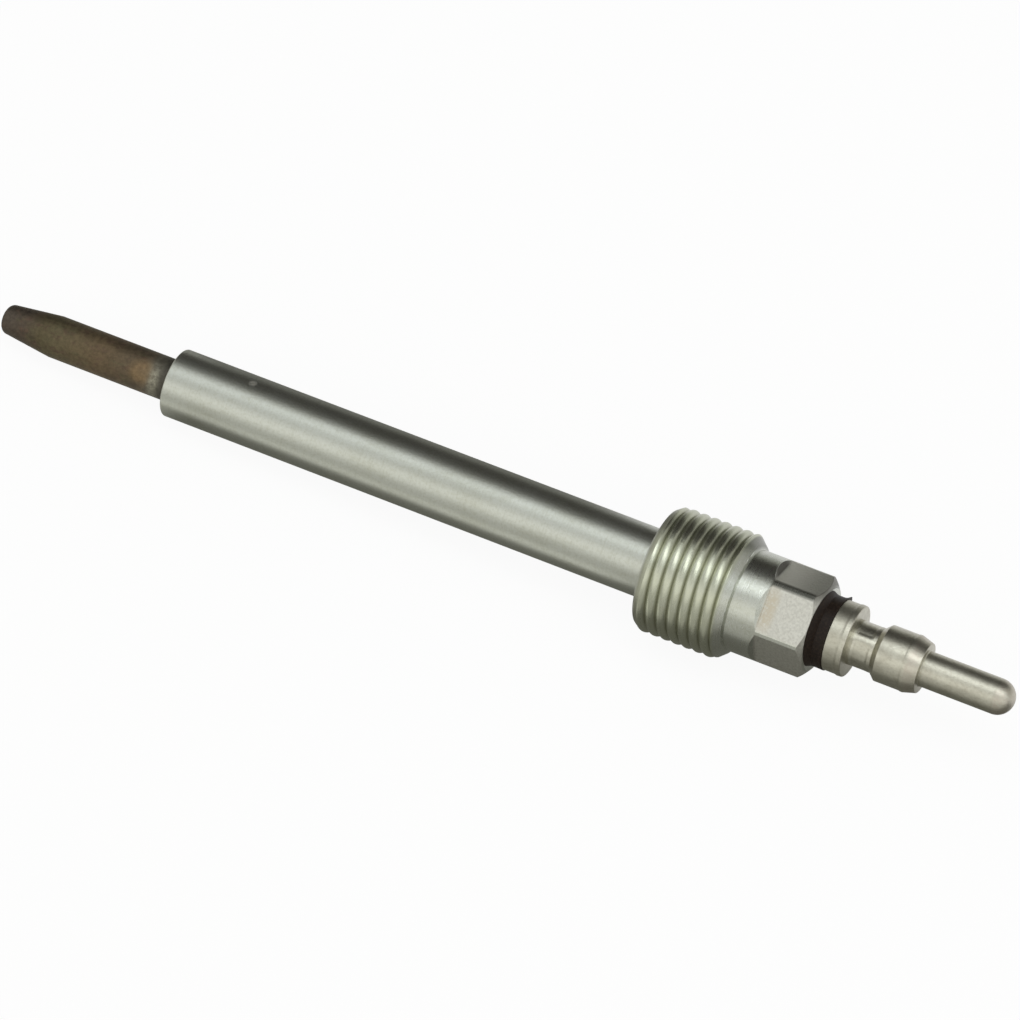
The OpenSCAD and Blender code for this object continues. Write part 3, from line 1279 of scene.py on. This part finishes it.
@dataclass
class InsulatingWasher(TurnedPiece):
    """Moulded washer, squeezed out to an uneven rim under the terminal.

    Each ripple of the rim has a depth, a number of waves and a phase.
    """

    axis: PlugAxis
    finish: MouldedInsulator
    name: str = "washer_moulding"
    node: str = "insulating_washer"
    crease: float = 30.0
    rod_hole_d: float = 3.3
    spigot_d: float = 6.9
    washer_d: float = 7.95
    rim_len: float = 0.5
    edge: float = 0.1
    hex_face_d: float = 9.3
    hex_chamfer: float = 4.0 / 3.0
    skirt_len: float = 0.25
    skirt: float = 0.03
    skirt_slope_len: float = 0.45
    skirt_angle: float = 211.0
    burr: float = 0.28
    burr_angle: float = 112.0
    burr_width: float = 9.0
    rim_inset: float = 0.04
    ripples: tuple[tuple[float, float, float], ...] = ((0.025, 3.0, 1.0), (0.015, 7.0, 0.0))
    columns: int = 144

    def shape(self) -> bmesh.types.BMesh:
        """Makes the washer's surface.

        Returns:
            The turned surface.
        """
        span = self.span
        foot = self.axis.span("plug_body").high
        rings = [
            ring(span.low, self.rod_hole_d / 2),
            ring(span.low, self.spigot_d / 2),
            ring(foot, self.spigot_d / 2),
            self._skirt(foot, 0.0, 0.0),
            self._skirt(foot, self.skirt_len, 0.0),
            self._skirt(foot, self.skirt_len, self.skirt),
            self._skirt(foot, 0.0, self.skirt),
            ring(foot + self.skirt_slope_len, self.washer_d / 2),
            ring(span.high - self.rim_len, self.washer_d / 2),
            self._rim(span.high - self.edge),
            self._rim(span.high),
            ring(span.high, self.rod_hole_d / 2),
        ]
        return turned(rings, self.columns, looped=True)

    def _skirt(self, foot: float, reach: float, skirt: float) -> Ring:
        """Gives a circle of the skirt, which is squeezed out over the hexagon's chamfer on one side.

        Args:
            foot: Height of the hexagon's end face.
            reach: How far the circle reaches down the chamfer, where it reaches most.
            skirt: How far it stands off the face and the chamfer.

        Returns:
            The circle.
        """
        washer_r = self.washer_d / 2

        def at(angle: float) -> tuple[float, float]:
            """Gives the circle at an angle.

            Args:
                angle: Angle about the axis, in radians.

            Returns:
                Height and radius.
            """
            share = max(0.0, math.cos(angle - math.radians(self.skirt_angle)))
            over_face = washer_r + (self.hex_face_d / 2 - washer_r) * min(1.0, 2.0 * share)
            down = reach * max(0.0, 2.0 * share - 1.0)
            return foot - down + skirt, over_face + down * self.hex_chamfer + skirt

        return at

    def _rim(self, height: float) -> Ring:
        """Gives a circle of the rim, with its ripples and its one torn corner.

        Args:
            height: Height of the circle.

        Returns:
            The circle.
        """
        radius = self.span.radius - self.rim_inset

        def at(angle: float) -> tuple[float, float]:
            """Gives the circle at an angle.

            Args:
                angle: Angle about the axis, in radians.

            Returns:
                Height and radius.
            """
            away = (math.degrees(angle) - self.burr_angle + 180.0) % 360.0 - 180.0
            torn = self.burr * max(0.0, 1.0 - abs(away) / self.burr_width)
            ripple = sum(depth * math.sin(waves * angle + phase) for depth, waves, phase in self.ripples)
            return height, radius + ripple + torn

        return at


@dataclass
class TerminalCap(TurnedPiece):
    """Turned terminal, crimped on the rod: collar, neck, barrel and pin.

    A crimp mark deepens between two angles in degrees, counted from the edge of a rib.
    """

    axis: PlugAxis
    finish: DullNickel
    name: str = "terminal_turning"
    node: str = "terminal_cap"
    crease: float = 10.0
    socket_d: float = 3.3
    socket_depth: float = 7.4
    collar_len: float = 2.15
    collar_round: float = 0.15
    collar_rim: float = 0.05
    collar_rim_len: float = 0.8
    crimp_d: float = 5.0
    crimp_len: float = 2.7
    crimp_mark_len: float = 2.0
    crimp_depth: float = 0.09
    crimp_ramp: float = 0.25
    crimp_jaws: int = 4
    crimp_rib_w: float = 0.55
    crimp_soft: tuple[float, float] = (-3.0, 11.0)
    crimp_turn: float = 64.0
    barrel_d: float = 6.25
    barrel_len: float = 3.9
    barrel_lead: float = 0.7
    barrel_ridge: float = 0.05
    barrel_ridge_len: float = 0.4
    nose_len: float = 1.4
    nose_d: float = 5.55
    nose_slope: float = 14.0
    pin_d: float = 3.9
    edge: float = 0.08
    columns: int = 240

    def shape(self) -> bmesh.types.BMesh:
        """Makes the terminal's surface.

        Returns:
            The turned surface.
        """
        span = self.span
        crimp = span.low + self.collar_len
        barrel = crimp + self.crimp_len
        nose = barrel + self.barrel_len
        pin = nose + self.nose_len
        ball = span.high - self.pin_d / 2
        collar_r = span.radius
        rim = crimp - self.collar_rim_len
        barrel_r = self.barrel_d / 2
        nose_r = self.nose_d / 2
        pin_r = self.pin_d / 2
        rings = [
            ring(span.low + self.socket_depth, 0.0),
            ring(span.low + self.socket_depth, self.socket_d / 2),
            ring(span.low, self.socket_d / 2),
            *rounding(span.low + self.edge, collar_r - self.collar_rim - self.edge, self.edge, -90, 0, 3),
            ring(rim, collar_r - self.collar_rim),
            ring(rim + self.collar_rim_len / 3, collar_r + self.collar_rim / 2),
            *rounding(crimp - self.collar_round, collar_r - self.collar_round, self.collar_round, 0, 90),
            *self._crimp_rings(crimp),
            ring(barrel, self.crimp_d / 2),
            *rounding(barrel + self.barrel_lead, barrel_r - self.edge, self.edge, -45, 0, 3),
            ring(nose - self.barrel_ridge_len, barrel_r),
            ring(nose - self.barrel_ridge_len / 2, barrel_r + self.barrel_ridge),
            ring(nose, barrel_r + self.barrel_ridge),
            *rounding(pin - self.edge, nose_r - self.edge, self.edge, self.nose_slope, 90, 4),
            ring(pin, pin_r + self.edge),
            ring(pin + self.edge, pin_r),
            *rounding(ball, 0.0, pin_r, 0, 90, 16),
        ]
        return turned(rings, self.columns, self.crimp_turn)

    def _crimp_rings(self, crimp: float) -> list[Ring]:
        """Gives the circles of the neck, with a mark under each jaw.

        Args:
            crimp: Height where the neck starts.

        Returns:
            The circles in order.
        """
        margin = (self.crimp_len - self.crimp_mark_len) / 2
        first = crimp + margin
        last = first + self.crimp_mark_len
        return [
            ring(crimp, self.crimp_d / 2),
            self._marked(first, 0.0),
            self._marked(first + self.crimp_ramp, 1.0),
            self._marked(last - self.crimp_ramp, 1.0),
            self._marked(last, 0.0),
        ]

    def _marked(self, height: float, share: float) -> Ring:
        """Gives a circle of the neck.

        Args:
            height: Height of the circle.
            share: Share of the marks' depth, from 0 to 1.

        Returns:
            The circle.
        """
        jaw = 360.0 / self.crimp_jaws
        rib = math.degrees(self.crimp_rib_w / self.crimp_d)

        def at(angle: float) -> tuple[float, float]:
            """Gives the circle at an angle.

            Args:
                angle: Angle about the axis, in radians.

            Returns:
                Height and radius.
            """
            off_rib = abs((math.degrees(angle) - self.crimp_turn) % jaw - jaw / 2)
            cut = soft_step(rib + self.crimp_soft[0], rib + self.crimp_soft[1], off_rib)
            return height, self.crimp_d / 2 - self.crimp_depth * share * cut

        return at


def dress_hidden(axis: PlugAxis) -> None:
    """Gives the sealed CAD pieces their finishes.

    Args:
        axis: The plug's axis.
    """
    for nodes, finish in HIDDEN_FINISHES.items():
        material = finish.material(axis)
        for node in nodes:
            piece = axis.nodes[node]
            piece.data.materials.clear()
            piece.data.materials.append(material)
            LOG.info("%s keeps its CAD shape", node)


# Studio


@dataclass
class Studio:
    """Pale table, soft light from above, a shade card that only reflections show, and the camera.

    The room's stops run from the front over the top to the back. Places on the card
    are in metres in the frame. Each rise or fall gives the place where a tone has not
    started and the place where it is full. The camera aims at a height on the plug's
    axis.
    """

    axis: PlugAxis
    floor_size: float = 4.0
    floor_white: float = 0.85
    camera_share: float = 0.93
    strip: tuple[float, float] = (0.70, 0.16)
    strip_at: tuple[float, float, float] = (0.25, -0.045, 0.45)
    strip_power: float = 0.50
    strip_tint: Colour = (0.96, 0.99, 1.0)
    room: tuple[tuple[float, Colour], ...] = (
        (0.00, (0.46, 0.46, 0.42)),
        (0.05, (0.51, 0.51, 0.47)),
        (0.11, (0.87, 0.87, 0.82)),
        (0.17, (1.15, 1.15, 1.09)),
        (0.24, (1.14, 1.14, 1.09)),
        (0.30, (0.84, 0.84, 0.81)),
        (0.37, (0.59, 0.60, 0.58)),
        (0.44, (0.64, 0.66, 0.65)),
        (0.50, (1.16, 1.20, 1.20)),
        (0.57, (1.16, 1.20, 1.20)),
        (0.62, (0.50, 0.50, 0.47)),
        (1.00, (0.50, 0.50, 0.46)),
    )
    card_reach: tuple[float, float] = (-0.30, 0.20)
    card_front: float = -0.3
    flag_at: float = 0.20
    flag_top: float = 0.42
    # Tones of the painted table shade, the painted shadow and the painted lit band on the card.
    card_grey: Colour = (0.47, 0.47, 0.43)
    painted_shadow_grey: Colour = (0.15, 0.15, 0.13)
    painted_lit_grey: Colour = (0.92, 0.92, 0.85)
    foot_grey: Colour = (0.40, 0.41, 0.37)
    flag_grey: Colour = (0.034, 0.031, 0.027)
    card_lift: float = 0.0002
    card_skew: float = 0.27
    thread_from: float = 0.014
    thread_soft: float = 0.006
    tube_to: float = -0.040
    tube_soft: float = 0.003
    lit_rise: tuple[float, float] = (-0.025, -0.017)
    lit_fall: tuple[float, float] = (-0.009, -0.014)
    under_rise: tuple[float, float] = (-0.019, -0.009)
    under_shift: float = 0.007
    white_rise: tuple[float, float] = (-0.002, 0.008)
    white_share: float = 0.08
    foot_rise: tuple[float, float] = (0.035, 0.150)
    flag_rise: tuple[float, float] = (0.022, 0.075)
    azimuth: float = 26.54
    elevation: float = 56.3
    focal_px: float = 6000.0
    frame_px: float = 1020.0
    sensor: float = 36.0
    px_per_mm: float = 9.377
    aim: float = -17.63

    def build(self) -> None:
        """Makes everything around the plug."""
        self._floor()
        self._shade_card()
        self._world()
        self._strip_light()
        self._camera()
        bpy.context.scene.view_settings.view_transform = "Standard"

    @staticmethod
    def _card(
        name: str, points: Sequence[tuple[float, float]], reach: tuple[float, float]
    ) -> bpy.types.Object:
        """Makes a card that is straight along X.

        Args:
            name: Name of the card.
            points: Its section as Y and Z in metres.
            reach: Where it starts and ends along X.

        Returns:
            The card.
        """
        verts = [(x, y, z) for y, z in points for x in reach]
        faces = [(2 * i, 2 * i + 1, 2 * i + 3, 2 * i + 2) for i in range(len(points) - 1)]
        mesh = bpy.data.meshes.new(name)
        mesh.from_pydata(verts, [], faces)
        card = bpy.data.objects.new(name, mesh)
        bpy.context.scene.collection.objects.link(card)
        return card

    def _floor(self) -> None:
        """Makes the table, which looks white and keeps the plug's shadow."""
        half = self.floor_size / 2
        floor = self._card("table", [(-half, 0.0), (half, 0.0)], (-half, half))
        material = bpy.data.materials.new("pale_table")
        material.use_nodes = True
        graph = Graph(material.node_tree)
        rays = graph.node("ShaderNodeLightPath")
        direct = Signal(graph, rays.outputs["Is Camera Ray"])
        for kind in ("Is Glossy Ray", "Is Transmission Ray"):
            direct = direct.most(Signal(graph, rays.outputs[kind]))
        white = (self.floor_white,) * 3
        paper = graph.add("BSDF", "ShaderNodeBsdfDiffuse", {}, {"Color": white})
        glow = graph.add("Emission", "ShaderNodeEmission", {}, {"Color": (1.0, 1.0, 1.0), "Strength": 1.0})
        shader = graph.add(0, "ShaderNodeMixShader", {}, {0: direct * self.camera_share, 1: paper, 2: glow})
        graph.node("ShaderNodeOutputMaterial", {}, {"Surface": shader})
        floor.data.materials.append(material)

    def _shade_card(self) -> None:
        """Makes the card that shades the table round the plug, and the room behind it, in reflections."""
        lift = self.card_lift
        points = [(self.card_front, lift), (self.flag_at, lift), (self.flag_at, self.flag_top)]
        card = self._card("shade_card", points, self.card_reach)
        material = bpy.data.materials.new("painted_table_shade")
        material.use_nodes = True
        graph = Graph(material.node_tree)
        here = graph.node("ShaderNodeSeparateXYZ", {}, {0: graph.add("Object", "ShaderNodeTexCoord")})
        along = Signal(graph, here.outputs["X"])
        back = Signal(graph, here.outputs["Y"])
        up = Signal(graph, here.outputs["Z"])
        skew = along + back.most(0.0) * self.card_skew
        at_thread = skew.smooth(self.thread_from - self.thread_soft, self.thread_from + self.thread_soft)
        at_tube = skew.smooth(self.tube_to + self.tube_soft, self.tube_to - self.tube_soft)
        # The card paints the table's shade: a painted shadow under the plug, a painted lit band beside it
        # and a painted dark room behind it, seen only in reflections.
        lit = back.smooth(*self.lit_rise) * back.smooth(*self.lit_fall) * (1.0 - at_thread)
        under = (back + at_thread * self.under_shift).smooth(*self.under_rise) * (1.0 - at_tube)
        whitened = back.smooth(*self.white_rise) * (self.white_share + at_thread * (1.0 - self.white_share))
        foot = graph.mix(at_thread, self.flag_grey, self.foot_grey)
        colour = graph.mix(under, self.card_grey, self.painted_shadow_grey)
        colour = graph.mix(lit, colour, self.painted_lit_grey)
        colour = graph.mix(whitened, colour, (self.floor_white,) * 3)
        colour = graph.mix(back.smooth(*self.foot_rise), colour, foot)
        colour = graph.mix(up.smooth(*self.flag_rise), colour, self.flag_grey)
        glow = graph.add("Emission", "ShaderNodeEmission", {}, {"Color": colour, "Strength": 1.0})
        graph.node("ShaderNodeOutputMaterial", {}, {"Surface": glow})
        card.data.materials.append(material)
        card.visible_camera = False
        card.visible_diffuse = False
        card.visible_shadow = False
        card.visible_transmission = False

    def _world(self) -> None:
        """Makes the room, white to the camera and banded from front to back for the light."""
        world = bpy.data.worlds.new("studio_room")
        world.use_nodes = True
        bpy.context.scene.world = world
        graph = Graph(world.node_tree)
        way = graph.node("ShaderNodeSeparateXYZ", {}, {0: graph.add("Generated", "ShaderNodeTexCoord")})
        turn = graph.math("ARCTAN2", Signal(graph, way.outputs["Z"]), 0.0 - Signal(graph, way.outputs["Y"]))
        room = graph.add("Color", "ShaderNodeValToRGB", {"stops": self.room}, {"Fac": turn / math.pi})
        camera_ray = graph.add("Is Camera Ray", "ShaderNodeLightPath")
        seen = graph.mix(camera_ray, room, (1.0, 1.0, 1.0))
        sky = graph.add("Background", "ShaderNodeBackground", {}, {"Color": seen, "Strength": 1.0})
        graph.node("ShaderNodeOutputWorld", {}, {"Surface": sky})

    def _strip_light(self) -> None:
        """Hangs the long soft light above the plug."""
        light = bpy.data.lights.new("strip_light", "AREA")
        light.shape = "RECTANGLE"
        light.size, light.size_y = self.strip
        light.energy = self.strip_power
        light.color = self.strip_tint
        lamp = bpy.data.objects.new("strip_light", light)
        lamp.location = self.strip_at
        bpy.context.scene.collection.objects.link(lamp)

    def _camera(self) -> None:
        """Sets the camera up at the photograph's view of the plug."""
        side = math.radians(self.azimuth)
        rise = math.radians(self.elevation)
        right = Vector((math.cos(side), math.sin(side), 0.0))
        back = Vector((math.sin(side) * math.cos(rise), -math.cos(side) * math.cos(rise), math.sin(rise)))
        turn = Matrix((right, back.cross(right), back)).transposed()
        lens = bpy.data.cameras.new("photo_camera")
        lens.sensor_width = self.sensor
        lens.lens = self.sensor * self.focal_px / self.frame_px
        lens.clip_start = 0.01
        camera = bpy.data.objects.new("photo_camera", lens)
        distance = self.focal_px / self.px_per_mm * MM
        camera.matrix_world = Matrix.LocRotScale(self.axis.point(self.aim) + back * distance, turn, None)
        bpy.context.scene.collection.objects.link(camera)
        bpy.context.scene.camera = camera


def main() -> None:
    """Builds the plug's pieces in order and logs what each stands for, then the studio."""
    logging.basicConfig(level=logging.INFO, format="%(name)s: %(message)s")
    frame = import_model()
    axis = PlugAxis.from_frame(frame, PlugBody.lead_len)
    pieces = [
        PlugBody(axis, PlatedSteel()),
        GlowTube(axis, HeatTintedAlloy()),
        InsulatingWasher(axis, MouldedInsulator()),
        TerminalCap(axis, DullNickel()),
    ]
    for piece in pieces:
        made = piece.build()
        LOG.info("%s stands for %s", made.name, piece.node)
    dress_hidden(axis)
    Studio(axis).build()


if __name__ == "__main__":
    main()
